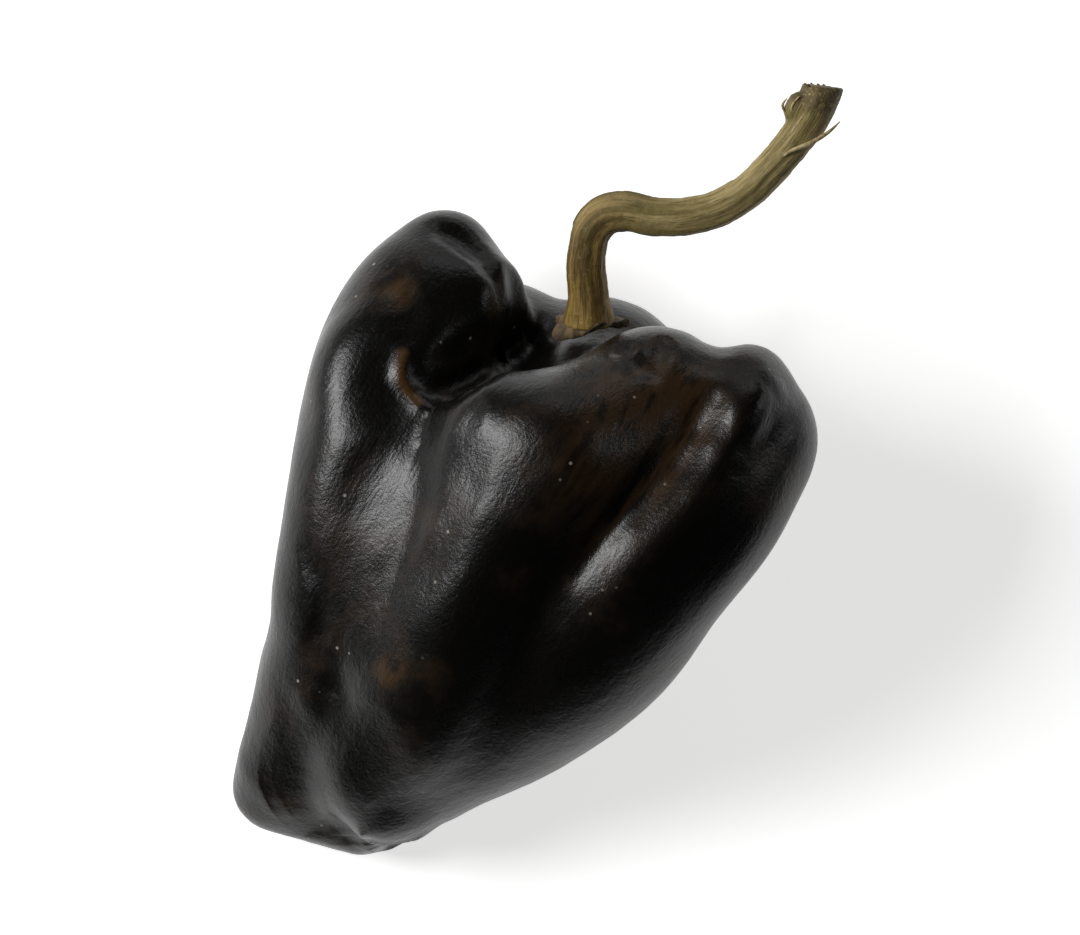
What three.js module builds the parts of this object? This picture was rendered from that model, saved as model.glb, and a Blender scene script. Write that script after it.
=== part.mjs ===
// A dried chilli pepper lying on its side: the folded, leathery pod, the calyx that clasps it in the
// bowl of its shoulder, and the woody stem. Millimetres, +Z up, resting on z = 0.
//
// The lobes are placed in a frame whose origin is the bowl of the shoulder: +Y along the pod as it
// lies, from the blossom end to the stem, +X to its right, +Z up.
import * as THREE from "three";

const POD_LENGTH = 68.4; // blossom end to the highest shoulder
const POD_WIDTH = 51.2; // across the two shoulders
const POD_DEPTH = 36.5; // as it lies, table to the crest of the front lobe
const STEM_THICKNESS = 3.8;
const STEM_REACH = 33.1; // from its seat to the cut end
const CALYX_RADIUS = 5.0;
const CALYX_THICKNESS = 0.7;
const SEAT_GAP = 0.3; // pod to calyx and calyx to stem
const DRAPE_MARGIN = 0.35; // allows for the flat facets of the pod's skin
const REST_FLAT = 0.5; // how much of each belly lobe is pressed flat by the table

const TURN = THREE.MathUtils.degToRad(-32.5); // the pod's axis against +Y
const RINGS = 54; // from the blossom end to the bowl
const MERIDIANS = 90;

// ---------------------------------------------------------------- the pod's lobes
// Each lobe is a chain of balls, [x, y, z, radius], from its shoulder down to the blossom end.
const LOBES = {
  core: [[3, -5.8, -7.7, 9.5], [1, -28, -12, 11], [0, -46, -17.5, 6.5]],
  left: [
    [-18.7, 0.3, -9.5, 5.9], [-17.9, -4.6, -9, 8.2], [-16, -10.6, -8, 9.9], [-13.4, -17.5, -8, 10],
    [-10.4, -25, -7.4, 9.5], [-7.2, -33, -8, 8.8], [-5.2, -41.5, -13, 8.4], [-4, -51.8, -18.6, 6.3],
  ],
  leftInner: [[-14.3, -2, -6.5, 6.3], [-13, -8, -6.8, 7.5]],
  leftFacet: [
    [-18.4, -5, -6.4, 6.6], [-17.2, -12, -4, 7.4], [-15.2, -19, -3.4, 7.6], [-12.4, -26, -4.4, 7.5],
    [-9.4, -34, -7.6, 7.3],
  ],
  front: [
    [1.4, -11, 6.6, 9.4], [1.0, -18, 4.8, 8.6], [2.5, -28, 0.9, 8.6], [3.4, -38, -6, 9], [3, -47, -13, 7.5],
  ],
  corner: [[-5.2, -11.4, 6.6, 6], [-3.4, -15.5, 5.6, 6.2], [-0.5, -21, 3.5, 7]],
  frontRight: [[7.4, -0.8, 1.5, 8.5], [4.6, -7, 4.2, 8.8]],
  right: [
    [16.2, 1, 0.9, 8.5], [15.8, -6.5, 2.6, 9.5], [13.6, -15, 1.4, 10.6], [12, -23, -3.4, 12],
    [8.5, -32, -9.6, 12], [5, -43, -14.4, 9.4],
  ],
  bridge: [[-10.4, -16.8, -0.9, 5.6], [-7.4, -20.5, -1, 7], [-5.6, -27, -2.2, 7], [-1.6, -34, -4.5, 7.6]],
  tip: [[-4.4, -55.3, -21.5, 4.8], [4.2, -52.6, -21.3, 4.8]],
  bellyLeft: [[-8, -6, -15.5, 9.5], [-7, -16, -17.2, 9.5], [-5, -28, -16.4, 9.3], [0, -48, -17.5, 6]],
  bellyRight: [[1.5, -1.8, -14.3, 9.5], [7, -14, -17.2, 9.5], [7, -28, -16.2, 9.3], [3, -46, -17, 6.5]],
};
const LOBE_BLEND = 1.7; // how far the skin bridges the valley between two lobes

// Grooves (depth > 0) and ridges (depth < 0) drawn on the skin: [x, y] points in plan, on the upper
// side (side 1) or the belly (side -1).
const FOLDS = [
  // the pocket beside the bowl, its lip and the shallow valley below it
  { path: [[-6.5, -1], [-9.2, -5.5], [-11.8, -9.2]], depth: 1.4, width: 2.4 },
  { path: [[-15.4, -9.4], [-13.4, -12.3], [-10.4, -13]], depth: -0.9, width: 1.3 },
  { path: [[-8.6, -13.6], [-5.4, -17.6], [-3.6, -23.5], [-2.6, -31]], depth: 0.8, width: 1.6 },
];

const smoothMin = (a, b, k) => {
  const h = Math.max(k - Math.abs(a - b), 0) / k;
  return Math.min(a, b) - (h * h * k) / 4;
};

const chains = Object.values(LOBES).map((balls) => {
  const path = new THREE.CatmullRomCurve3(balls.map(([x, y, z]) => new THREE.Vector3(x, y, z)));
  const size = new THREE.SplineCurve(balls.map((ball, i) => new THREE.Vector2(i, ball[3])));
  const steps = 4 * (balls.length - 1);
  return Array.from({ length: steps + 1 }, (_, i) => ({
    at: path.getPoint(i / steps),
    radius: size.getPoint(i / steps).y,
  }));
});

function lobeDistance(p, chain) {
  let nearest = Infinity;
  for (let i = 1; i < chain.length; i++) {
    const a = chain[i - 1];
    const b = chain[i];
    const ex = b.at.x - a.at.x;
    const ey = b.at.y - a.at.y;
    const ez = b.at.z - a.at.z;
    const px = p.x - a.at.x;
    const py = p.y - a.at.y;
    const pz = p.z - a.at.z;
    const t = THREE.MathUtils.clamp((px * ex + py * ey + pz * ez) / (ex * ex + ey * ey + ez * ez), 0, 1);
    const d = Math.hypot(px - t * ex, py - t * ey, pz - t * ez);
    nearest = Math.min(nearest, d - THREE.MathUtils.lerp(a.radius, b.radius, t));
  }
  return nearest;
}

const smoothField = (p) =>
  chains.map((chain) => lobeDistance(p, chain)).reduce((a, b) => smoothMin(a, b, LOBE_BLEND));

// Walks from a point along a direction until a field changes sign (outward from inside, or back).
function walk(field, from, direction, outward = true) {
  const p = from.clone();
  for (let i = 0; i < 90; i++) {
    const d = outward ? -field(p) : field(p);
    if (d < 0.002) break;
    p.addScaledVector(direction, 0.8 * d);
  }
  return p;
}

// ---------------------------------------------------------------- folds drawn on the lobes
const folds = FOLDS.map(({ side = 1, path, depth, width }) => {
  const down = new THREE.Vector3(0, 0, -side);
  const line = path.map(([x, y]) => walk(smoothField, new THREE.Vector3(x, y, 60 * side), down, false));
  const points = new THREE.CatmullRomCurve3(line).getPoints(4 * (path.length - 1));
  return { points, depth, width };
});

function foldHeight(p, { points, depth, width }) {
  let best = Infinity;
  let along = 0;
  const edge = new THREE.Vector3();
  const rel = new THREE.Vector3();
  for (let i = 1; i < points.length; i++) {
    edge.subVectors(points[i], points[i - 1]);
    rel.subVectors(p, points[i - 1]);
    const t = THREE.MathUtils.clamp(rel.dot(edge) / edge.lengthSq(), 0, 1);
    const d = rel.addScaledVector(edge, -t).length();
    if (d < best) {
      best = d;
      along = (i - 1 + t) / (points.length - 1);
    }
  }
  if (best > 3 * width) return 0;
  const ends = THREE.MathUtils.smoothstep(Math.min(along, 1 - along), -0.02, 0.2);
  return depth * ends * Math.exp(-((best / width) ** 2));
}

const podField = (p) => folds.reduce((d, fold) => d + foldHeight(p, fold), smoothField(p));

// ---------------------------------------------------------------- the pod
function lobedPod() {
  const geometry = new THREE.SphereGeometry(1, MERIDIANS, RINGS);
  const position = geometry.getAttribute("position");
  const direction = new THREE.Vector3();
  const from = new THREE.Vector3();
  const columns = MERIDIANS + 1;
  for (let i = 0; i < position.count; i++) {
    const ring = Math.floor(i / columns);
    const turn = (2 * Math.PI * ((i % columns) % MERIDIANS)) / MERIDIANS;
    // Rings crowd together at the stem end, where the bowl needs them.
    const share = ring / RINGS;
    const angle = Math.PI * (share - (0.35 * Math.sin(Math.PI * share) * Math.cos(0.5 * Math.PI * share)) / 2);
    direction.set(-Math.sin(angle) * Math.cos(turn), Math.cos(angle), Math.sin(angle) * Math.sin(turn));
    if (ring === 0) direction.set(0, 1, 0);
    if (ring === RINGS) direction.set(0, -1, 0);
    const along = THREE.MathUtils.lerp(-46, -16, 0.5 + 0.5 * direction.y);
    from.set(0.5, along, -2 + 0.375 * along);
    const p = walk(podField, from, direction);
    position.setXYZ(i, p.x, p.y, p.z);
  }
  return geometry;
}

// The table presses the lowest skin of each belly lobe flat.
function pressFlat(geometry) {
  geometry.computeBoundingBox();
  const table = geometry.boundingBox.min.z + REST_FLAT;
  const position = geometry.getAttribute("position");
  for (let i = 0; i < position.count; i++) position.setZ(i, Math.max(position.getZ(i), table));
  geometry.computeBoundingBox();
  return geometry;
}

const podGeometry = pressFlat(lobedPod());
const fit = new THREE.Vector3(POD_WIDTH, POD_LENGTH, POD_DEPTH).divide(
  podGeometry.boundingBox.getSize(new THREE.Vector3()),
);
podGeometry.scale(fit.x, fit.y, fit.z);

// Distance to the finished pod, for the pieces that sit on it.
const nearestFit = Math.min(fit.x, fit.y, fit.z);
const skinDistance = (p) => podField(p.clone().divide(fit)) * nearestFit;

// ---------------------------------------------------------------- the calyx
const STEM_AXIS = new THREE.Vector3(-0.5, 0.78, 0.37).normalize(); // out of the bowl
const ACROSS = new THREE.Vector3(0.84, 0.54, 0).normalize();
const ALONG = new THREE.Vector3().crossVectors(STEM_AXIS, ACROSS).normalize();
const bowlEntry = new THREE.Vector3(-2.1, 1.9, -4).multiply(fit).addScaledVector(STEM_AXIS, 9);
const seat = walk(skinDistance, bowlEntry, STEM_AXIS.clone().negate(), false);
const HUB_TOP = 1.9; // flat top of the calyx above the skin at its middle
const HUB_RADIUS = 3.7;
const CALYX_RINGS = 8;
const CALYX_STEPS = 50;

// Five points, with a tattered margin between them.
const calyxEdge = (a) =>
  CALYX_RADIUS * (0.86 + 0.16 * Math.cos(5 * a + 0.4) + 0.05 * Math.sin(9 * a + 1) + 0.04 * Math.sin(17 * a));

const onDisc = (radius, a, height) =>
  seat
    .clone()
    .addScaledVector(ACROSS, radius * Math.cos(a))
    .addScaledVector(ALONG, radius * Math.sin(a))
    .addScaledVector(STEM_AXIS, height);

function calyxGeometry() {
  const down = STEM_AXIS.clone().negate();
  const clear = (p) => skinDistance(p) - SEAT_GAP - DRAPE_MARGIN;
  const geometry = new THREE.SphereGeometry(1, CALYX_STEPS, 2 * CALYX_RINGS + 1);
  const position = geometry.getAttribute("position");
  const columns = CALYX_STEPS + 1;
  for (let i = 0; i < position.count; i++) {
    const ring = Math.floor(i / columns);
    const a = (2 * Math.PI * ((i % columns) % CALYX_STEPS)) / CALYX_STEPS;
    const top = ring <= CALYX_RINGS;
    const share = (top ? ring : 2 * CALYX_RINGS + 1 - ring) / CALYX_RINGS;
    const radius = share * calyxEdge(a);
    const under = walk(clear, onDisc(radius, a, 8), down, false);
    const lift = under.clone().sub(seat).dot(STEM_AXIS);
    const wave = 0.35 * share ** 3 * (1 + Math.sin(7 * a + 2));
    const hub = THREE.MathUtils.smoothstep(radius, HUB_RADIUS, HUB_RADIUS + 1.6);
    const upper = THREE.MathUtils.lerp(HUB_TOP, lift + wave + CALYX_THICKNESS, hub);
    const p = onDisc(radius, a, top ? upper : lift + wave * hub);
    position.setXYZ(i, p.x, p.y, p.z);
  }
  return geometry;
}

// ---------------------------------------------------------------- the stem
// [x, y, z, thickness against STEM_THICKNESS] from the seat.
const STEM_COURSE = [
  [0, 0, 0, 1.4], [-1.3, 1.9, 0.9, 1.1], [-3.9, 5.7, 2.3, 1.02], [-4.6, 9.1, 3.6, 1.02], [-3.1, 11.0, 4.1, 1.04],
  [0, 12.3, 4.4, 0.98], [4.0, 15.3, 5, 0.94], [6.2, 18.8, 5.6, 0.92], [7.2, 22.6, 6.2, 0.92],
  [7.7, 26.1, 6.8, 0.95], [7.8, 28.9, 7.4, 1.05], [7.3, 31.3, 7.9, 1.18],
];
const STEM_SIDES = 22;
const STEM_RINGS = 60;
const STEM_RIBS = 6;

function stemGeometry() {
  const base = onDisc(0, 0, HUB_TOP + SEAT_GAP);
  const reach = new THREE.Vector3(...STEM_COURSE.at(-1).slice(0, 3)).length();
  const stretch = STEM_REACH / reach;
  const path = new THREE.CatmullRomCurve3(
    STEM_COURSE.map(([x, y, z]) => new THREE.Vector3(x, y, z).multiplyScalar(stretch).add(base)),
  );
  const size = new THREE.SplineCurve(STEM_COURSE.map((point, i) => new THREE.Vector2(i, point[3])));
  const geometry = new THREE.CylinderGeometry(1, 1, 1, STEM_SIDES, STEM_RINGS);
  const position = geometry.getAttribute("position");
  const frames = path.computeFrenetFrames(STEM_RINGS);
  for (let i = 0; i < position.count; i++) {
    const share = position.getY(i) + 0.5;
    const ring = Math.round(share * STEM_RINGS);
    const x = position.getX(i);
    const z = position.getZ(i);
    const rib = 1 + 0.045 * Math.cos(STEM_RIBS * Math.atan2(z, x) + 3 * share);
    const radius = 0.5 * STEM_THICKNESS * size.getPoint(share).y * rib;
    const p = path.getPointAt(share);
    p.addScaledVector(frames.normals[ring], x * radius);
    p.addScaledVector(frames.binormals[ring], -z * radius);
    position.setXYZ(i, p.x, p.y, p.z);
  }
  return geometry;
}

// ---------------------------------------------------------------- assembly
function piece(name, geometry, color, roughness) {
  const mesh = new THREE.Mesh(geometry, new THREE.MeshStandardMaterial({ color, roughness }));
  mesh.name = name;
  return mesh;
}

const group = new THREE.Group();
group.name = "chilli_pepper";
group.add(piece("pod", podGeometry, 0x14100d, 0.4));
group.add(piece("calyx", calyxGeometry(), 0x4a3a1e, 0.8));
group.add(piece("stem", stemGeometry(), 0x7d6c40, 0.75));
group.rotation.z = TURN;

const scene = new THREE.Group();
scene.add(group);
scene.updateMatrixWorld(true);
const box = new THREE.Box3().setFromObject(group, true);
group.position.set(-(box.min.x + box.max.x) / 2, -(box.min.y + box.max.y) / 2, -box.min.z);
scene.updateMatrixWorld(true);

export default scene;
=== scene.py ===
"""A dried chilli pepper: the leathery pod, the calyx in the bowl of its shoulder and the woody stem.

The pod is the CAD pod with its skin folded and wrinkled. The stem is a ribbed rod bent along its
course, and the calyx is a star of dry leaf laid over the bowl. Sizes are millimetres in the panel.
"""

import math
import random

import bpy
import numpy as np
from mathutils import Matrix, Vector


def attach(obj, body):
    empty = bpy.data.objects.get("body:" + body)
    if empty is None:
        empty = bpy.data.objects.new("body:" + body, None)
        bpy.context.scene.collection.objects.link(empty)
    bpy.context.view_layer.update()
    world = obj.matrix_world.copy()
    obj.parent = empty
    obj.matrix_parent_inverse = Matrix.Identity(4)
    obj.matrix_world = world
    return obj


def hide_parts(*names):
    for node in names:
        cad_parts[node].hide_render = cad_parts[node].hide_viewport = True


bl_info = {
    "name": "Dried chilli pepper",
    "version": (1, 0, 0),
    "blender": (4, 5, 0),
    "location": "3D View > Sidebar > Pepper",
    "description": "Finishes a dried chilli pepper around its solid pod, calyx and stem",
    "category": "Add Mesh",
}

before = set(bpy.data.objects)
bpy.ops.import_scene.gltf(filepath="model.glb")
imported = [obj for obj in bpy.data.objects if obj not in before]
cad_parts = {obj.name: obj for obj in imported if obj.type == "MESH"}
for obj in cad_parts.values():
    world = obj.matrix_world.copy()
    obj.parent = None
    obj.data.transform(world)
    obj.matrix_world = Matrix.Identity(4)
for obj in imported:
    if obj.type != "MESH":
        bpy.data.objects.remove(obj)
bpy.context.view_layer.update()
MM = 0.001
SEED = 7

# The pod's long axis against +Y, seen from above, in degrees.
POD_TURN = -32.5

STEM_THICKNESS = 3.8

# The stem's course from its foot, before the pod's turn: x, y, z in millimetres and thickness against
# STEM_THICKNESS. It follows the CAD stem, but the last point lies beyond the end.
STEM_COURSE = (
    (0, 0, 0, 1.4),
    (-1.3, 1.9, 0.9, 1.1),
    (-3.9, 5.7, 2.3, 1.02),
    (-4.6, 9.1, 3.6, 1.02),
    (-3.1, 11.0, 4.1, 1.04),
    (0, 12.3, 4.4, 0.98),
    (4.0, 15.3, 5.0, 0.94),
    (6.2, 18.8, 5.6, 0.92),
    (7.2, 22.6, 6.2, 0.92),
    (7.7, 26.1, 6.8, 0.95),
    (7.8, 29.0, 7.4, 1.03),
    (7.4, 31.4, 7.9, 1.08),
    (6.9, 33.8, 8.3, 1.05),
)
STEM_CUT = 0.36  # how far the cut is from the last point but one to the last
STEM_CUT_WAY = (0.12, 1, 0.1)  # the way that the cut faces


# ---------------------------------------------------------------- modelling by hand

PAIRING = math.radians(70)  # the most that two triangles may bend where they become a quad
STROKE_WIDTH = 0.35  # how far from its line a stroke takes hold of the skin, in millimetres


def only(piece):
    """Leaves this piece alone selected and active."""
    bpy.ops.object.select_all(action="DESELECT")
    piece.select_set(True)
    bpy.context.view_layer.objects.active = piece


def points_of(piece):
    """The piece's vertices and their normals, as two arrays in millimetres and unit vectors."""
    mesh = piece.data
    places = np.empty(3 * len(mesh.vertices))
    normals = np.empty(3 * len(mesh.vertices))
    mesh.vertices.foreach_get("co", places)
    mesh.vertex_normals.foreach_get("vector", normals)
    return places.reshape(-1, 3) / MM, normals.reshape(-1, 3)


def choose(piece, chosen):
    """Selects these vertices, and the edges and faces between them."""
    only(piece)
    mesh = piece.data
    bpy.ops.object.mode_set(mode="EDIT")
    bpy.ops.mesh.select_mode(type="VERT")
    bpy.ops.mesh.select_all(action="DESELECT")
    bpy.ops.object.mode_set(mode="OBJECT")
    mesh.vertices.foreach_set("select", np.asarray(chosen, dtype=bool))
    bpy.ops.object.mode_set(mode="EDIT")


def done_editing():
    bpy.ops.object.mode_set(mode="OBJECT")


def line_distance(places, line):
    """How far each place is from a broken line, counting only the axes that the line has."""
    line = np.array(line, dtype=float)
    flat = places[:, : line.shape[1]]
    nearest = np.full(len(places), np.inf)
    for start, end in zip(line[:-1], line[1:]):
        way = end - start
        share = np.clip((flat - start) @ way / max(way @ way, 1e-9), 0, 1)
        nearest = np.minimum(nearest, np.linalg.norm(flat - start - share[:, None] * way, axis=1))
    return nearest


def smooth_line(line, steps=6):
    """A Catmull-Rom curve through the points of a broken line."""
    points = [Vector(p) for p in line]
    padded = [2 * points[0] - points[1]] + points + [2 * points[-1] - points[-2]]
    curve = []
    for a, b, c, d in zip(padded, padded[1:], padded[2:], padded[3:]):
        for i in range(steps):
            t = i / steps
            square = 2 * a - 5 * b + 4 * c - d
            cube = 3 * b - a - 3 * c + d
            curve.append(0.5 * (2 * b + (c - a) * t + square * t**2 + cube * t**3))
    return [tuple(p) for p in curve + [points[-1]]]


def press(piece, line, depth, reach, falloff="SMOOTH", taper=True):
    """Presses (depth below 0) or lifts the skin along a line seen from above, fading out over reach.

    A tapered line is worked twice, half as deep each time, the second time without its ends.
    """
    curve = smooth_line(line) if len(line) > 2 else list(line)
    strokes = [curve]
    if taper and len(curve) > 6:
        cut = len(curve) // 5
        strokes = [curve, curve[cut:-cut]]
    for stroke in strokes:
        places, normals = points_of(piece)
        chosen = (normals[:, 2] > 0.05) & (line_distance(places, stroke) < STROKE_WIDTH)
        if not chosen.any():
            continue
        choose(piece, chosen)
        bpy.ops.transform.shrink_fatten(
            value=depth * MM / len(strokes),
            use_proportional_edit=True,
            proportional_edit_falloff=falloff,
            proportional_size=reach * MM,
        )
        done_editing()


def around(piece, middle, reach):
    """The upper skin within reach of a place seen from above: its choice, mean place and mean normal."""
    places, normals = points_of(piece)
    chosen = (np.hypot(places[:, 0] - middle[0], places[:, 1] - middle[1]) < reach) & (normals[:, 2] > 0.2)
    return chosen, places[chosen].mean(axis=0) * MM, Vector(normals[chosen].mean(axis=0)).normalized()


def facing(way):
    """The rows of a turned frame whose Z is this way."""
    across = way.orthogonal().normalized()
    return tuple(across), tuple(way.cross(across)), tuple(way)


def flatten(piece, middle, reach, soft, amount):
    """Scales the upper skin around a place towards its own mean plane, fading out over soft."""
    chosen, centre, way = around(piece, middle, reach)
    choose(piece, chosen)
    bpy.ops.transform.resize(
        value=(1, 1, 1 - amount),
        orient_type="GLOBAL",
        orient_matrix=facing(way),
        orient_matrix_type="GLOBAL",
        constraint_axis=(False, False, True),
        center_override=tuple(centre),
        use_proportional_edit=True,
        proportional_edit_falloff="SMOOTH",
        proportional_size=soft * MM,
    )
    done_editing()


def lean(piece, middle, reach, soft, slope, share=1.0):
    """Turns the upper skin around a place so that its normal leans this far to +X and +Y for each unit up."""
    chosen, centre, way = around(piece, middle, reach)
    wanted = Vector((*slope, 1)).normalized()
    axle = way.cross(wanted)
    choose(piece, chosen)
    bpy.ops.transform.rotate(
        value=share * way.angle(wanted),
        orient_type="GLOBAL",
        orient_matrix=facing(axle.normalized()),
        orient_matrix_type="GLOBAL",
        constraint_axis=(False, False, True),
        center_override=tuple(centre),
        use_proportional_edit=True,
        proportional_edit_falloff="SMOOTH",
        proportional_size=soft * MM,
    )
    done_editing()


def relax(piece, middle, reach, times):
    """Smooths the upper skin around a place seen from above."""
    places, normals = points_of(piece)
    chosen = (np.hypot(places[:, 0] - middle[0], places[:, 1] - middle[1]) < reach) & (normals[:, 2] > 0)
    choose(piece, chosen)
    bpy.ops.mesh.vertices_smooth(factor=0.5, repeat=times)
    done_editing()


def roughen(piece, name, size, depth, detail, stretch=1.0):
    """Displaces the skin by a soft pattern of this size and depth, stretched along the pod."""
    pattern = bpy.data.textures.new(name, "CLOUDS")
    pattern.noise_scale = size * MM
    pattern.noise_depth = detail
    modifier = piece.modifiers.new(name, "DISPLACE")
    modifier.texture = pattern
    modifier.strength = depth * MM
    modifier.mid_level = 0.5
    modifier.texture_coords = "LOCAL"
    guide = None
    if stretch != 1:
        bpy.ops.object.select_all(action="DESELECT")
        bpy.ops.object.empty_add(location=(0, 0, 0), rotation=(0, 0, math.radians(POD_TURN)))
        guide = bpy.context.active_object
        guide.scale = (1, stretch, 1)
        bpy.context.view_layer.update()
        modifier.texture_coords = "OBJECT"
        modifier.texture_coords_object = guide
    only(piece)
    bpy.ops.object.modifier_apply(modifier=modifier.name)
    if guide:
        bpy.data.objects.remove(guide)
    bpy.data.textures.remove(pattern)


def copy_of_node(node, name):
    """A merged copy of a CAD node, made of quads where its triangles pair up."""
    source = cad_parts[node]
    piece = source.copy()
    piece.data = source.data.copy()
    piece.name = name
    piece.data.name = name
    bpy.context.scene.collection.objects.link(piece)
    piece.parent = None
    piece.data.materials.clear()
    only(piece)
    bpy.ops.object.mode_set(mode="EDIT")
    bpy.ops.mesh.select_all(action="SELECT")
    bpy.ops.mesh.remove_doubles(threshold=1e-6)
    bpy.ops.mesh.tris_convert_to_quads(face_threshold=PAIRING, shape_threshold=PAIRING)
    done_editing()
    return piece


def subdivide(piece, levels):
    modifier = piece.modifiers.new("smooth", "SUBSURF")
    modifier.levels = levels
    modifier.render_levels = levels
    only(piece)
    bpy.ops.object.modifier_apply(modifier=modifier.name)


def finish_piece(piece, finish, node):
    """Shades a piece, gives it its finish and ties it to the frame."""
    only(piece)
    bpy.ops.object.shade_smooth()
    piece.data.materials.clear()
    piece.data.materials.append(finish)
    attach(piece, "root")
    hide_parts(node)


# ---------------------------------------------------------------- finishes


class Value:
    """A socket in a finish's nodes that takes part in ordinary sums."""

    def __init__(self, finish, socket):
        self.finish = finish
        self.socket = socket

    def _sum(self, operation, first, second):
        return self.finish.node("ShaderNodeMath", {"operation": operation}, {0: first, 1: second})

    def __add__(self, other):
        return self._sum("ADD", self, other)

    __radd__ = __add__

    def __mul__(self, other):
        return self._sum("MULTIPLY", self, other)

    __rmul__ = __mul__


class Finish:
    """A material and the nodes that make it."""

    def __init__(self, name):
        self.material = bpy.data.materials.new(name)
        self.material.use_nodes = True
        self.tree = self.material.node_tree
        self.shader = self.tree.nodes["Principled BSDF"]

    def node(self, kind, settings=None, inputs=None, output=0):
        """Adds a node: its settings first, then the values or links of its sockets."""
        made = self.tree.nodes.new(kind)
        for key, value in (settings or {}).items():
            setattr(made, key, value)
        for key, value in (inputs or {}).items():
            self.feed(made.inputs[key], value)
        return Value(self, made.outputs[output])

    def feed(self, socket, value):
        if isinstance(value, Value):
            self.tree.links.new(value.socket, socket)
        else:
            socket.default_value = value

    def set(self, **values):
        """Feeds the shader: underscores stand for spaces in a socket's name."""
        for key, value in values.items():
            self.feed(self.shader.inputs[key.replace("_", " ")], value)

    def place(self):
        return self.node("ShaderNodeTexCoord", output="Object")

    def along_pod(self, across, along):
        """Object coordinates turned to the pod's axis and stretched along it."""
        turn = (0, 0, math.radians(POD_TURN))
        scale = (1 / across, 1 / along, 1 / across)
        inputs = {"Vector": self.place(), "Rotation": turn, "Scale": scale}
        return self.node("ShaderNodeMapping", {"vector_type": "TEXTURE"}, inputs)

    def noise(self, vector, scale, detail=2.0, roughness=0.5, distortion=0.0):
        inputs = {"Vector": vector, "Scale": scale, "Detail": detail}
        inputs.update({"Roughness": roughness, "Distortion": distortion})
        return self.node("ShaderNodeTexNoise", None, inputs)

    def cells(self, vector, scale):
        return self.node("ShaderNodeTexVoronoi", {"feature": "F1"}, {"Vector": vector, "Scale": scale})

    def between(self, value, low, high, to_low=0.0, to_high=1.0):
        """A soft step from to_low at low to to_high at high."""
        return self.node(
            "ShaderNodeMapRange",
            {"interpolation_type": "SMOOTHSTEP"},
            {"Value": value, "From Min": low, "From Max": high, "To Min": to_low, "To Max": to_high},
        )

    def patch(self, middle, reach):
        """1 at a place seen from above, fading to 0 over reach, in millimetres."""
        flat = self.node("ShaderNodeVectorMath", {"operation": "MULTIPLY"}, {0: self.place(), 1: (1, 1, 0)})
        distance = self.node(
            "ShaderNodeVectorMath",
            {"operation": "DISTANCE"},
            {0: flat, 1: (middle[0] * MM, middle[1] * MM, 0)},
            output="Value",
        )
        return self.between(distance, 0.15 * reach * MM, reach * MM, 1.0, 0.0)

    def line(self, points, reach):
        """1 along a row of places seen from above, fading to 0 over reach."""
        mask = self.patch(points[0], reach)
        for point in smooth_line(points, 3)[1:]:
            inputs = {0: mask, 1: self.patch(point, reach)}
            mask = self.node("ShaderNodeMath", {"operation": "MAXIMUM"}, inputs)
        return mask

    def mix(self, mask, first, second):
        """The first colour where the mask is 0 and the second where it is 1."""
        settings = {"data_type": "RGBA", "blend_type": "MIX", "clamp_factor": True}
        return self.node("ShaderNodeMix", settings, {0: mask, 6: first, 7: second}, output=2)

    def bump(self, height, distance, strength):
        inputs = {"Height": height, "Distance": distance, "Strength": strength}
        return self.node("ShaderNodeBump", None, inputs)


def colour(values):
    return (*values, 1.0)


def skin_finish(sizes):
    """Near-black leathery skin: brown where it is thin, finely grained, with specks of dust and a painted
    highlight in amber along the lip of the hollow.
    """
    finish = Finish("dried_skin")
    place = finish.place()
    blotch = finish.noise(place, 95.0, 4.0, 0.6)
    streak = finish.noise(finish.along_pod(620.0, 90.0), 1.0, 3.0, 0.6)
    grain = finish.noise(place, 2600.0, 3.0, 0.7)
    creases = finish.noise(finish.along_pod(1300.0, 330.0), 1.0, 3.0, 0.55, 0.5)

    thin = finish.patch((12.0, 6.5), 12.0) + finish.patch((8.0, -1.0), 9.0) * 0.6
    brown = finish.between(blotch, 0.50, 0.72) * 0.55 + thin * finish.between(streak, 0.32, 0.62) * 1.2
    dark = finish.mix(brown, colour(sizes.skin_dark), colour(sizes.skin_brown))
    warm = finish.patch((-13.6, 18.8), 2.8) + finish.patch((-14.2, -19.6), 2.4)
    warm = warm * finish.between(streak, 0.38, 0.6)
    # a painted highlight: the lip of the hollow beside the bowl is coloured amber along its edge
    lip_highlight = finish.line([(-12.9, 12.4), (-13.3, 10.6), (-12.6, 8.8), (-11.3, 7.6)], 0.9)
    base = finish.mix(warm * 0.75 + lip_highlight * 0.85, dark, colour(sizes.skin_amber_and_lip_highlight))
    specks = finish.between(finish.cells(place, 420.0), 0.03, 0.10, 1.0, 0.0)
    dust = specks * finish.between(finish.noise(place, 90.0), 0.50, 0.58)
    base = finish.mix(dust * 0.9, base, colour((0.30, 0.28, 0.24)))

    matt = 0.26 + finish.between(grain, 0.3, 0.7) * 0.06 + finish.between(blotch, 0.35, 0.7) * 0.04
    height = grain * 0.6 + creases * 0.7
    finish.set(
        Base_Color=base,
        Roughness=matt + dust * 0.3,
        Normal=finish.bump(height, 0.00011, 0.7),
        IOR=1.41,
    )
    return finish.material


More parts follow.
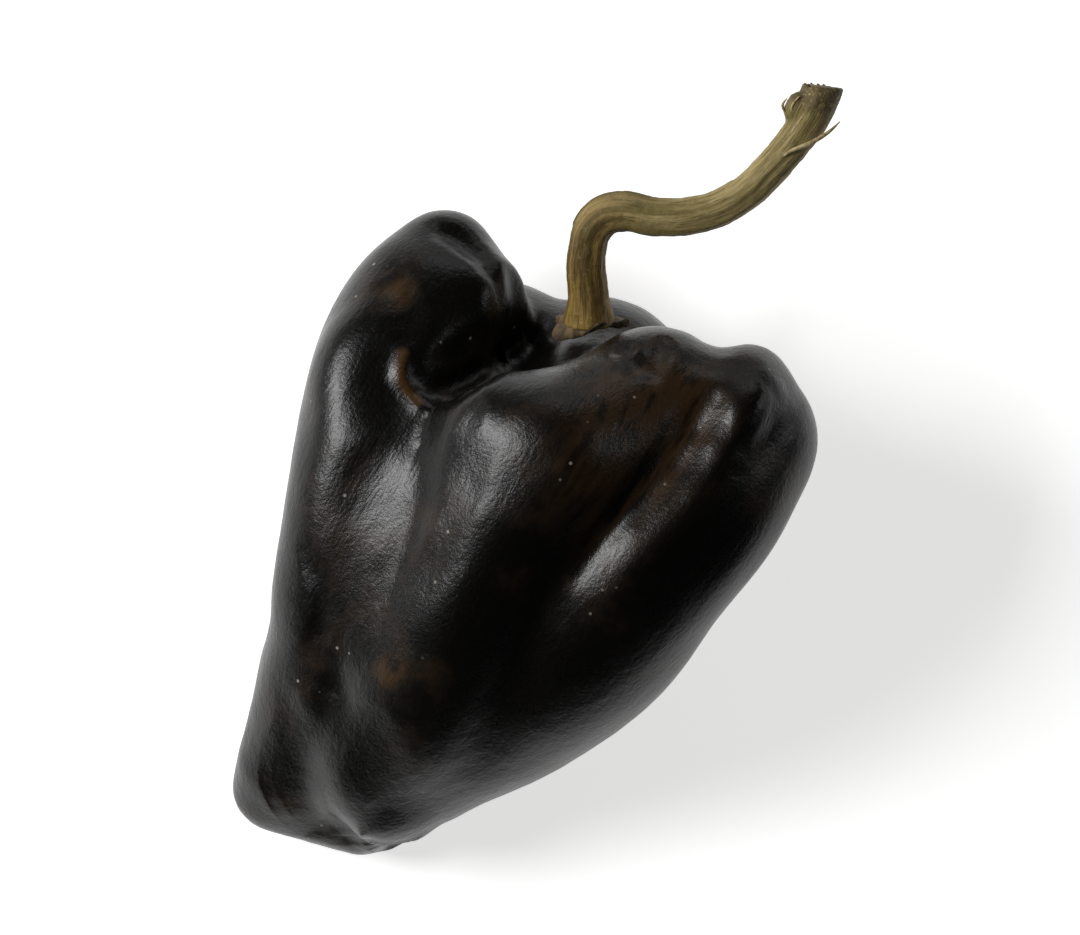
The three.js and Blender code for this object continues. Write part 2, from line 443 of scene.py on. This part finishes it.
def wood_finish(sizes):
    """Dry olive wood: fine fibres along it, a brown and gold foot and a weathered brown end."""
    finish = Finish("dry_stem_wood")
    around = finish.node("ShaderNodeUVMap", {"uv_map": "UVMap"})
    fibres = finish.node("ShaderNodeMapping", None, {"Vector": around, "Scale": (75.0, 36.0, 1.0)})
    coarse = finish.node("ShaderNodeMapping", None, {"Vector": around, "Scale": (17.0, 9.0, 1.0)})
    length = finish.node("ShaderNodeSeparateXYZ", None, {"Vector": around}, output="Y")
    fibre = finish.noise(fibres, 1.0, 3.0, 0.65)
    band = finish.noise(coarse, 1.0, 3.0, 0.6)
    fleck = finish.noise(finish.place(), 1900.0, 3.0, 0.65)
    banded = finish.between(band, 0.36, 0.66)
    gold = finish.mix(banded, colour(sizes.wood_olive), colour(sizes.wood_light))
    gold = finish.mix(finish.between(fibre, 0.50, 0.70) * 0.75, gold, colour(sizes.wood_dark))
    # the rod's side fills the upper half of its UV map, so the foot starts at 0.5
    foot = finish.between(length, 0.56, 0.74, 1.0, 0.0)
    streaked = finish.between(band, 0.42, 0.60)
    brown = finish.mix(streaked, colour(sizes.wood_foot), colour(sizes.wood_gold))
    brown = finish.mix(finish.between(fibre, 0.5, 0.68) * 0.7, brown, colour((0.028, 0.016, 0.004)))
    base = finish.mix(foot, gold, brown)
    weathered = finish.between(length, 0.935, 0.965) * finish.between(fleck, 0.36, 0.50)
    base = finish.mix(weathered * 0.8, base, colour((0.075, 0.052, 0.022)))
    base = finish.mix(finish.between(fleck, 0.58, 0.72) * 0.4, base, colour((0.40, 0.34, 0.20)))
    finish.set(
        Base_Color=base,
        Roughness=0.58 + finish.between(fibre, 0.3, 0.7) * 0.18,
        Normal=finish.bump(fibre * 0.7 + fleck * 0.4 + band * 0.5, 0.00020, 0.8),
        Specular_IOR_Level=0.35,
    )
    return finish.material


def bark_finish():
    """Pale torn fibres where the bark has peeled."""
    finish = Finish("torn_bark")
    fibre = finish.noise(finish.place(), 2400.0, 3.0, 0.6)
    light = finish.between(fibre, 0.35, 0.65)
    finish.set(
        Base_Color=finish.mix(light, colour((0.30, 0.22, 0.10)), colour((0.58, 0.47, 0.26))),
        Roughness=0.75,
        Normal=finish.bump(fibre, 0.00010, 0.6),
        Specular_IOR_Level=0.3,
    )
    return finish.material


def leaf_finish(sizes):
    """Papery olive-brown calyx with paler blotches."""
    finish = Finish("dry_calyx")
    place = finish.place()
    blotch = finish.noise(place, 420.0, 4.0, 0.6)
    grain = finish.noise(place, 2600.0, 3.0, 0.6)
    pale = finish.between(blotch, 0.35, 0.65)
    finish.set(
        Base_Color=finish.mix(pale, colour(sizes.leaf_dark), colour(sizes.leaf_light)),
        Roughness=0.6 + grain * 0.2,
        Normal=finish.bump(grain * 0.5 + blotch, 0.00015, 0.7),
        Specular_IOR_Level=0.35,
    )
    return finish.material


def table_finish():
    """A matt white tabletop that glows with painted light, most brightly around the pepper."""
    finish = Finish("pale_table")
    grain = finish.noise(finish.place(), 40.0, 2.0)
    pool = finish.node("ShaderNodeVectorMath", {"operation": "LENGTH"}, {0: finish.place()}, output="Value")
    glow = finish.between(pool, 0.075, 0.26)
    finish.set(
        Base_Color=finish.mix(grain * 0.15, colour((0.86, 0.86, 0.855)), colour((0.80, 0.80, 0.795))),
        Roughness=0.7,
        # painted light: the table glows white near the pepper, fading to dim grey further off, and this glow
        # also lights the pepper's edges
        Emission_Color=finish.mix(glow, colour((1.0, 1.0, 0.995)), colour((0.12, 0.12, 0.12))),
        Emission_Strength=0.69,
        Specular_IOR_Level=0.1,
    )
    return finish.material


# ---------------------------------------------------------------- what a user may change


def tint(name, description, default):
    """A colour that the panel shows."""
    named = {"name": name, "description": description}
    return bpy.props.FloatVectorProperty(subtype="COLOR", default=default, **named)


class PepperSizes(bpy.types.PropertyGroup):
    """Sizes and colours of the pepper's pieces."""

    fold_depth: bpy.props.FloatProperty(
        name="Fold depth", description="Depth of the folds, against the usual", default=1.0, min=0.0, max=2.0
    )
    wrinkle_depth: bpy.props.FloatProperty(
        name="Wrinkles", description="Depth of the wrinkles, in millimetres", default=0.16, min=0.0, max=1.0
    )
    stem_ribs: bpy.props.IntProperty(name="Stem ribs", description="Ridges around the stem", default=13, min=3)
    skin_dark: tint("Skin", "Colour of the thick skin", (0.0022, 0.0018, 0.0014))
    skin_brown: tint("Thin skin", "Colour where the skin is thin", (0.032, 0.017, 0.007))
    # the amber is the thinnest skin's colour, and it also paints the highlight along the lip of the hollow
    skin_amber_and_lip_highlight: tint("Amber skin", "Colour of the thinnest skin", (0.06, 0.030, 0.009))
    wood_dark: tint("Stem streaks", "Dark fibres", (0.085, 0.055, 0.016))
    wood_light: tint("Stem wood", "Light fibres", (0.40, 0.31, 0.135))
    wood_olive: tint("Stem olive", "Greenish bands", (0.20, 0.155, 0.045))
    wood_foot: tint("Stem foot", "The stem near its seat", (0.090, 0.052, 0.008))
    wood_gold: tint("Stem gold", "Golden streaks of the foot", (0.23, 0.145, 0.026))
    leaf_dark: tint("Calyx", "Dark parts of the calyx", (0.035, 0.021, 0.008))
    leaf_light: tint("Calyx blotches", "Pale parts of the calyx", (0.14, 0.095, 0.045))


# ---------------------------------------------------------------- the pod

# Places on the upper skin that are smoothed first: middle, reach and how often.
RELAXED = (
    ((-9.5, 7.5), 5.0, 50),
    ((-8.5, 0.5), 3.5, 25),
    ((9.0, 13.0), 4.0, 20),
    ((-20.0, -30.0), 8.0, 160),
    ((-8.6, -1.0), 4.0, 60),
)

# The broad facet of the left lobe: middle, reach, how far it fades, and how flat it is (1 is a plane).
LEFT_FACET = ((-14.6, -2.5), 1.5, 6.5, 0.6)

# Skin that leans another way than its lobe: middle, reach, how far it fades, slope and share.
LEANING = (
    ((-18.0, 11.0), 1.5, 7.0, (-0.20, 0.15)),
    ((-20.6, 5.6), 1.5, 6.0, (-0.95, 0.15), 0.4),
    ((-3.0, 3.6), 1.5, 7.5, (-0.46, 0.15), 0.6),
)

# Broad swells, shaped before the facet and the folds: line, height and reach.
SWELLS = (
    # the right lobe's upper end, and its back below that
    (((22.2, 11.0), (20.8, 8.6)), 1.9, 6.2),
    (((20.2, 7.0), (18.6, 4.6)), 1.0, 5.0),
    # between the tips of the two lobes
    (((-15.4, -36.2), (-12.4, -36.6)), 1.1, 3.6),
)

# Lines on the upper skin, as (x, y) seen from above in millimetres: depth below 0 presses a groove,
# above 0 lifts a ridge, and reach is how far each side it fades.
FOLDS = (
    # the hollow beside the bowl, its steep side under the front lobe and its golden lip
    (((-0.2, 14.6), (-3.4, 13.0), (-6.6, 11.4), (-9.0, 10.0)), -0.9, 3.8, "SMOOTH"),
    (((-0.6, 14.2), (-3.2, 11.5), (-6.3, 9.3), (-9.0, 8.2), (-10.9, 8.9)), -1.2, 2.3, "SMOOTH"),
    (((-12.6, 12.7), (-13.2, 10.6), (-12.4, 8.6), (-10.9, 7.3), (-8.8, 6.8)), 0.5, 1.3, "SMOOTH"),
    # the long crease between the front lobe and the right lobe, and the right lobe's ridge
    (((20.3, 10.2), (17.5, 6.9), (13.6, 1.0), (7.7, -5.4), (4.4, -10.0)), -0.45, 1.8, "SMOOTH"),
    (((23.4, 9.4), (20.9, 4.4), (17.0, -1.9), (12.0, -7.0), (8.4, -11.6)), 0.6, 4.0, "SMOOTH"),
    (((21.0, 10.8), (18.6, 7.6), (16.0, 4.2), (13.4, 0.6), (10.4, -2.8)), -0.7, 3.0, "SMOOTH"),
    # the fold behind the left peak
    (((-9.5, 25.3), (-7.3, 24.0), (-5.1, 22.1), (-3.8, 20.1)), -0.8, 1.5, "LINEAR"),
    # the shallow valley on top of the left lobe
    (((-14.4, 22.2), (-13.0, 18.4), (-12.2, 14.8)), -0.35, 2.6, "SMOOTH"),
    # the fold of the lower left, and the filled hollow between the two tips
    (((-22.7, -7.3), (-21.0, -12.6), (-21.9, -17.5)), -0.25, 1.6, "SMOOTH"),
    (((-21.6, -22.0), (-20.6, -27.0), (-18.6, -33.0), (-16.0, -37.5)), 0.6, 4.2, "SMOOTH"),
    # the dimple and rim in front of the stem
    (((9.2, 12.6), (10.6, 10.6)), -0.4, 1.6, "SMOOTH"),
    (((13.4, 13.2), (12.2, 10.4)), -0.3, 1.2, "SMOOTH"),
)

# Places that are smoothed again once the folds are in.
SOFTENED = (
    ((-19.5, -30.0), 7.0, 60),
    ((-13.5, -36.0), 4.0, 80),
    ((19.2, 7.6), 3.4, 10),
    ((16.8, 4.4), 3.4, 12),
    ((14.4, 1.2), 3.4, 12),
    ((12.0, -2.0), 3.4, 10),
)


def pod_skin(sizes):
    """The CAD pod with its lobes relaxed, leaned and folded, its skin wrinkled and its belly on the table."""
    piece = copy_of_node("pod", "pod_skin")
    subdivide(piece, 2)
    for middle, reach, times in RELAXED:
        relax(piece, middle, reach, times)
    for line, height, reach in SWELLS:
        press(piece, line, height, reach, taper=False)
    flatten(piece, *LEFT_FACET)
    for place in LEANING:
        lean(piece, *place)
    for line, depth, reach, falloff in FOLDS:
        press(piece, line, depth * sizes.fold_depth, reach, falloff)
    for middle, reach, times in SOFTENED:
        relax(piece, middle, reach, times)
    wrinkle = sizes.wrinkle_depth
    roughen(piece, "swell", 9.0, 1.5 * wrinkle, 1, stretch=2.4)
    roughen(piece, "wrinkle", 3.2, 0.7 * wrinkle, 2, stretch=3.0)
    roughen(piece, "pucker", 1.5, 0.3 * wrinkle, 1)
    places, _ = points_of(piece)
    choose(piece, places[:, 2] < 0)
    bpy.ops.transform.resize(value=(1, 1, 0), center_override=(0, 0, 0))
    done_editing()
    return piece


class PEPPER_OT_pod(bpy.types.Operator):
    """Folds and wrinkles the pod's skin"""

    bl_idname = "pepper.pod"
    bl_label = "Pod"

    def execute(self, context):
        sizes = context.scene.pepper
        finish_piece(pod_skin(sizes), skin_finish(sizes), "pod")
        return {"FINISHED"}


# ---------------------------------------------------------------- the stem


STEM_SIDES = 66
STEM_RINGS = 260
RIB_LIFTS = (-0.035, 0.03, 0.06)  # of a rod of 1 mm radius
RIB_HALF_WIDTH = 4.0  # degrees

# Knobs and hollows of the stem's end: middle, reach, how far it fades and its lift.
KNOBS = (
    ((26.3, 37.0, 27.6), 0.6, 1.3, 0.9),
    ((26.6, 37.9, 28.4), 0.4, 0.7, 0.35),
    ((26.9, 36.2, 28.8), 0.4, 0.8, -0.25),
    ((27.6, 38.4, 29.4), 0.4, 0.9, -0.3),
)


def as_it_lies(point):
    """A way or an offset of the pod's own frame, turned as the pod lies."""
    return Matrix.Rotation(math.radians(POD_TURN), 3, "Z") @ Vector(point[:3])


def stem_foot():
    """The middle of the CAD stem's flat foot, in metres."""
    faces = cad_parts["stem"].data.polygons
    way = as_it_lies(STEM_COURSE[1]).normalized()
    lowest = min(face.center.dot(way) for face in faces)
    foot = [face for face in faces if face.normal.dot(way) < -0.9 and face.center.dot(way) < lowest + MM]
    return sum((face.center * face.area for face in foot), Vector()) / sum(face.area for face in foot)


def stem_places():
    """The points of the stem's course, in metres."""
    foot = stem_foot()
    return [foot + as_it_lies(point) * MM for point in STEM_COURSE]


def stem_path():
    """The stem's course as a curve whose radius, in millimetres, follows its thickness."""
    places = stem_places()
    curve = bpy.data.curves.new("stem_course", "CURVE")
    curve.dimensions = "3D"
    curve.resolution_u = 24
    spline = curve.splines.new("BEZIER")
    spline.bezier_points.add(len(places) - 1)
    for point, place, course in zip(spline.bezier_points, places, STEM_COURSE):
        point.co = place
        point.handle_left_type = "AUTO"
        point.handle_right_type = "AUTO"
        point.radius = course[3] * STEM_THICKNESS / 2
    path = bpy.data.objects.new("stem_course", curve)
    bpy.context.scene.collection.objects.link(path)
    bpy.context.view_layer.update()
    return path, spline.calc_length()


def stem_rod(sizes):
    """A straight ribbed rod of 1 mm radius, bent and thickened along the stem's course, then cut."""
    path, length = stem_path()
    bpy.ops.object.select_all(action="DESELECT")
    bpy.ops.mesh.primitive_cylinder_add(
        vertices=STEM_SIDES, radius=MM, depth=length, end_fill_type="NGON", location=(0, 0, length / 2)
    )
    rod = bpy.context.active_object
    rod.name = "stem_wood"
    only(rod)
    bpy.ops.object.transform_apply(location=True, rotation=True, scale=True)
    bpy.ops.object.mode_set(mode="EDIT")
    for ring in range(1, STEM_RINGS):
        bpy.ops.mesh.select_all(action="SELECT")
        bpy.ops.mesh.bisect(plane_co=(0, 0, length * ring / STEM_RINGS), plane_no=(0, 0, 1))
    done_editing()
    draws = random.Random(SEED)
    places, _ = points_of(rod)
    angle = np.degrees(np.arctan2(places[:, 1], places[:, 0]))
    height = places[:, 2] / (length / MM)
    for rib in range(sizes.stem_ribs):
        middle = 360 * (rib + draws.uniform(-0.3, 0.3)) / sizes.stem_ribs
        twist = draws.uniform(-30, 50)
        low = draws.uniform(0.0, 0.35)
        high = draws.uniform(0.6, 1.0)
        turned = (angle - middle - twist * height + 180) % 360 - 180
        choose(rod, (np.abs(turned) < RIB_HALF_WIDTH) & (height > low) & (height < high))
        bpy.ops.transform.shrink_fatten(
            value=draws.choice(RIB_LIFTS) * MM,
            use_proportional_edit=True,
            proportional_edit_falloff="SMOOTH",
            proportional_size=0.3 * MM,
        )
        done_editing()
    bend = rod.modifiers.new("bend", "CURVE")
    bend.object = path
    bend.deform_axis = "POS_Z"
    only(rod)
    bpy.ops.object.modifier_apply(modifier=bend.name)
    bpy.data.objects.remove(path)
    cut_end(rod)
    swell_end(rod)
    roughen(rod, "bark", 0.9, 0.16, 3)
    return rod


def cut_end(rod):
    """Cuts the stem off and bevels the cut."""
    before, after = stem_places()[-2:]
    only(rod)
    bpy.ops.object.mode_set(mode="EDIT")
    bpy.ops.mesh.select_all(action="SELECT")
    bpy.ops.mesh.bisect(
        plane_co=before.lerp(after, STEM_CUT), plane_no=STEM_CUT_WAY, use_fill=True, clear_outer=True
    )
    bpy.ops.mesh.bevel(offset=0.12 * MM, segments=2, affect="EDGES")
    done_editing()


def swell_end(rod):
    """Lifts the torn knobs on the left of the stem's end and presses the hollows beside them."""
    for middle, reach, soft, lift in KNOBS:
        places, _ = points_of(rod)
        choose(rod, np.linalg.norm(places - np.array(middle), axis=1) < reach)
        bpy.ops.transform.shrink_fatten(
            value=lift * MM,
            use_proportional_edit=True,
            proportional_edit_falloff="SMOOTH",
            proportional_size=soft * MM,
        )
        done_editing()


# Slivers of peeled bark: the points each one follows, and its thickness, in millimetres.
SLIVERS = (
    (
        ((24.6, 31.5, 27.7), (26.0, 32.6, 28.4), (28.0, 33.4, 28.6), (29.8, 34.5, 28.2), (31.0, 35.6, 27.6)),
        0.24,
    ),
    (((25.6, 33.8, 28.2), (26.6, 35.2, 28.6), (27.6, 36.6, 28.9)), 0.12),
    (((25.5, 36.4, 28.1), (25.2, 37.2, 28.4), (25.7, 38.0, 28.7)), 0.14),
    (((26.0, 36.1, 28.5), (26.2, 37.2, 28.9), (26.9, 38.1, 29.1)), 0.11),
)


def bark_peel():
    """Lays thin slivers, each thickest at its middle, on the stem and joins them into one piece."""
    finish = bark_finish()
    slivers = []
    for line, thickness in SLIVERS:
        points = smooth_line(line, 4)
        curve = bpy.data.curves.new("sliver", "CURVE")
        curve.dimensions = "3D"
        curve.bevel_depth = thickness * MM
        curve.bevel_resolution = 2
        curve.use_fill_caps = True
        spline = curve.splines.new("POLY")
        spline.points.add(len(points) - 1)
        for i, (point, place) in enumerate(zip(spline.points, points)):
            point.co = (*(c * MM for c in place), 1)
            point.radius = 0.25 + 0.75 * math.sin(math.pi * i / (len(points) - 1))
        sliver = bpy.data.objects.new("sliver", curve)
        bpy.context.scene.collection.objects.link(sliver)
        only(sliver)
        bpy.ops.object.convert(target="MESH")
        sliver = bpy.context.active_object
        sliver.data.materials.clear()
        sliver.data.materials.append(finish)
        slivers.append(sliver)
    only(slivers[0])
    for sliver in slivers:
        sliver.select_set(True)
    bpy.ops.object.join()
    peel = bpy.context.active_object
    peel.name = "stem_peel"
    bpy.ops.object.shade_smooth()
    return peel


class PEPPER_OT_stem(bpy.types.Operator):
    """Makes the ribbed stem, bent along its course, and its peeled bark"""

    bl_idname = "pepper.stem"
    bl_label = "Stem"

    def execute(self, context):
        sizes = context.scene.pepper
        finish_piece(stem_rod(sizes), wood_finish(sizes), "stem")
        peel = bark_peel()
        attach(peel, "root")
        return {"FINISHED"}


# ---------------------------------------------------------------- the calyx


# The leaf is drawn in towards a point near the stem's foot, so that the bowl's rim hides most of it.
DRAWN_TOWARDS = (0, 1.36, -0.82)  # from the foot
DRAWN_IN = (0.82, 0.70, 0.72)


def calyx_leaf():
    """The CAD calyx, drawn in and wrinkled."""
    piece = copy_of_node("calyx", "calyx_leaf")
    subdivide(piece, 2)
    only(piece)
    bpy.ops.object.mode_set(mode="EDIT")
    bpy.ops.mesh.select_all(action="SELECT")
    middle = stem_foot() + Vector(DRAWN_TOWARDS) * MM
    bpy.ops.transform.resize(value=DRAWN_IN, center_override=tuple(middle))
    done_editing()
    roughen(piece, "leaf_wrinkle", 1.1, 0.35, 2)
    return piece


class PEPPER_OT_calyx(bpy.types.Operator):
    """Makes the torn, papery calyx"""

    bl_idname = "pepper.calyx"
    bl_label = "Calyx"

    def execute(self, context):
        sizes = context.scene.pepper
        finish_piece(calyx_leaf(), leaf_finish(sizes), "calyx")
        return {"FINISHED"}


# ---------------------------------------------------------------- table, light and camera

# Each soft light's name, place, width, height and power.
LIGHTS = (
    ("key_softbox", (-0.60, 0.16, 0.50), 0.34, 0.34, 5.9),
    ("right_softbox", (0.72, 0.20, 0.30), 0.20, 0.40, 0.5),
    ("back_softbox", (0.10, 0.90, 0.30), 0.60, 0.20, 0.7),
)
LIT_PLACE = (0, 0, 0.02)  # which every light faces
ROOM_LIGHT = 0.01
TABLE_SIZE = 6.0
CAMERA_PLACE = (0.0009, 0.0009, 0.774)
LENS = 248.0


class PEPPER_OT_stage(bpy.types.Operator):
    """Sets the pale table, the soft lights and the camera above"""

    bl_idname = "pepper.stage"
    bl_label = "Stage"

    def execute(self, context):
        scene = context.scene
        bpy.ops.object.select_all(action="DESELECT")
        bpy.ops.mesh.primitive_plane_add(size=TABLE_SIZE, location=(0, 0, 0))
        table = context.active_object
        table.name = "table"
        table.data.materials.append(table_finish())
        for name, place, width, height, power in LIGHTS:
            bpy.ops.object.light_add(type="AREA", location=place)
            lamp = context.active_object
            lamp.name = name
            lamp.data.shape = "RECTANGLE"
            lamp.data.size = width
            lamp.data.size_y = height
            lamp.data.energy = power
            lamp.rotation_euler = (Vector(LIT_PLACE) - Vector(place)).to_track_quat("-Z", "Y").to_euler()
        world = bpy.data.worlds.new("studio")
        world.use_nodes = True
        sky = world.node_tree.nodes["Background"].inputs
        sky["Color"].default_value = colour((0.9, 0.9, 0.9))
        sky["Strength"].default_value = ROOM_LIGHT
        scene.world = world
        scene.view_settings.view_transform = "Standard"
        bpy.ops.object.camera_add(location=CAMERA_PLACE)
        camera = context.active_object
        camera.name = "overhead_camera"
        camera.data.lens = LENS
        camera.data.sensor_width = 36.0
        camera.rotation_euler = (0, 0, 0)
        scene.camera = camera
        return {"FINISHED"}


# ---------------------------------------------------------------- panel and running


class PEPPER_PT_panel(bpy.types.Panel):
    """The pepper's pieces and sizes"""

    bl_label = "Dried chilli pepper"
    bl_idname = "PEPPER_PT_panel"
    bl_space_type = "VIEW_3D"
    bl_region_type = "UI"
    bl_category = "Pepper"

    def draw(self, context):
        column = self.layout.column()
        for operator in OPERATORS:
            column.operator(operator.bl_idname)
        for key in PepperSizes.__annotations__:
            column.prop(context.scene.pepper, key)


OPERATORS = (PEPPER_OT_pod, PEPPER_OT_calyx, PEPPER_OT_stem, PEPPER_OT_stage)
CLASSES = (PepperSizes, *OPERATORS, PEPPER_PT_panel)


def register():
    for cls in CLASSES:
        bpy.utils.register_class(cls)
    bpy.types.Scene.pepper = bpy.props.PointerProperty(type=PepperSizes)


def unregister():
    del bpy.types.Scene.pepper
    for cls in reversed(CLASSES):
        bpy.utils.unregister_class(cls)


def main():
    register()
    bpy.ops.pepper.pod()
    bpy.ops.pepper.calyx()
    bpy.ops.pepper.stem()
    bpy.ops.pepper.stage()


if __name__ == "__main__":
    main()
